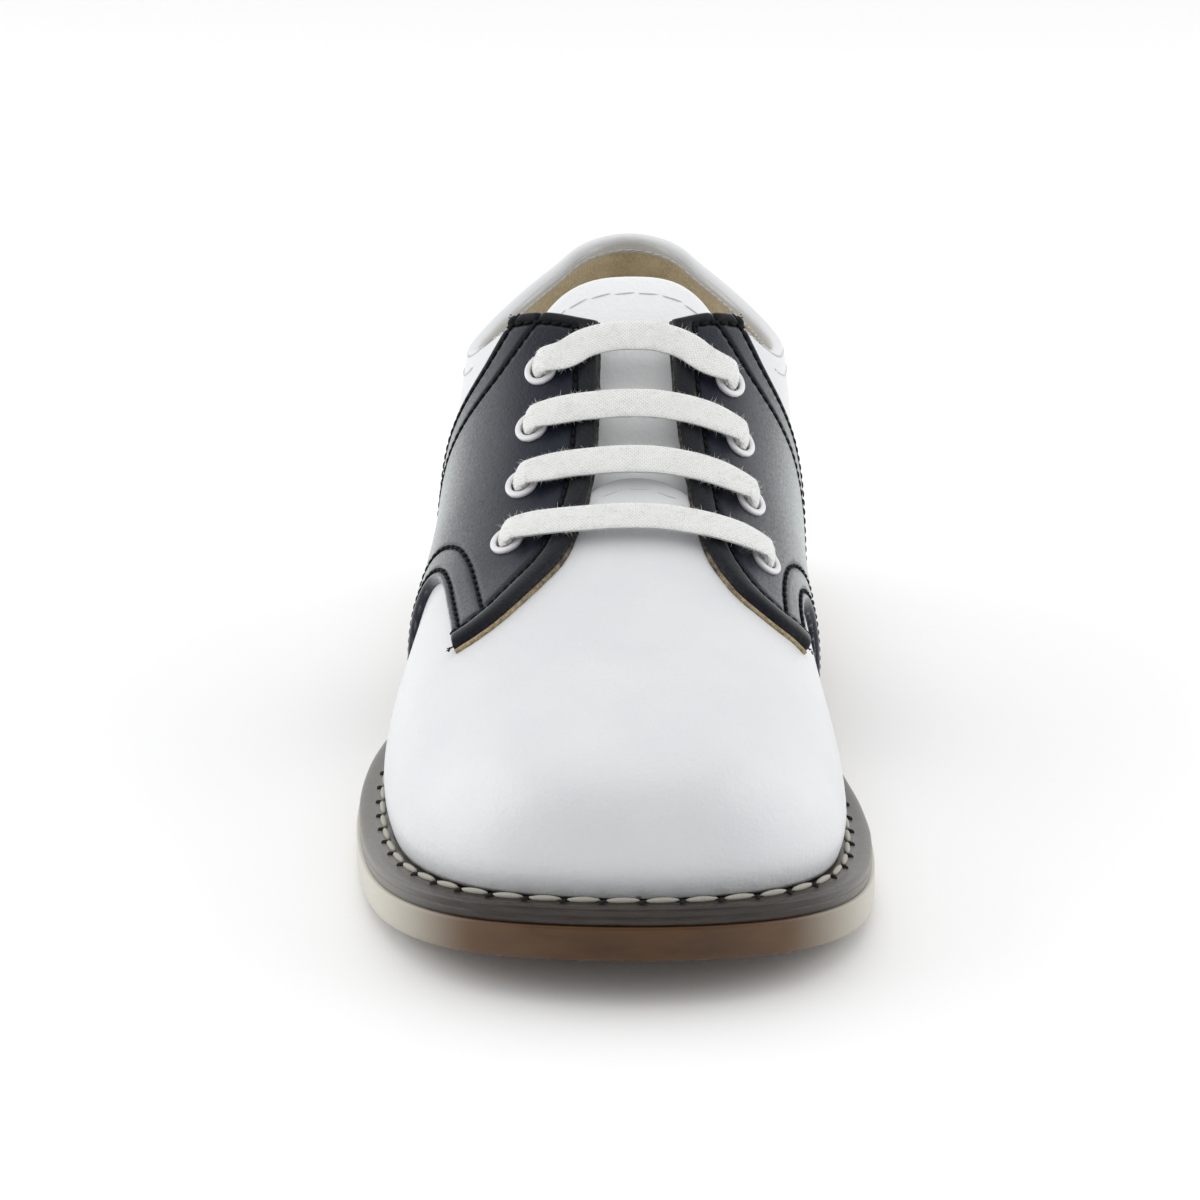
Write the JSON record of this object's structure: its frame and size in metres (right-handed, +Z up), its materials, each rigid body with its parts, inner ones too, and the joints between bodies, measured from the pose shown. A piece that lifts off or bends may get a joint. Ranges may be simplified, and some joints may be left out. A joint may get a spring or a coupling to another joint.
{
  "type": "saddle shoe",
  "caption": "Child's right saddle oxford with a white upper, a navy saddle over the instep, white flat laces, a dark welted midsole and a brown rubber sole with a low heel.",
  "frame": {"origin": "on the floor, under the middle of the sole's outline", "axes": "+Z up, the toe points along -Y and the heel along +Y, +X is the inner (medial) side of the foot"},
  "size_m": [0.0774, 0.184, 0.0728],
  "materials": {
    "white_leather": "smooth fine-grained leather, low sheen",
    "navy_leather": "smooth navy leather, soft sheen",
    "tongue_leather": "smooth leather, low sheen",
    "lining_leather": "napped tan lining leather, dull",
    "dark_welt": "dark brown welting, low sheen",
    "gum_rubber": "translucent brown gum rubber, glossy side",
    "white_plastic": "coated white eyelet",
    "white_cotton": "flat woven cotton"
  },
  "bodies": {
    "root": {"upper": "white_leather", "saddle_lateral": "navy_leather", "saddle_medial": "navy_leather", "tongue": "tongue_leather", "insole": "lining_leather", "midsole": "dark_welt", "outsole": "gum_rubber", "lace": "white_cotton", "eyelet_1": "white_plastic", "eyelet_2": "white_plastic", "eyelet_3": "white_plastic", "eyelet_4": "white_plastic", "eyelet_5": "white_plastic", "eyelet_6": "white_plastic", "eyelet_7": "white_plastic", "eyelet_8": "white_plastic"}
  },
  "joints": []
}
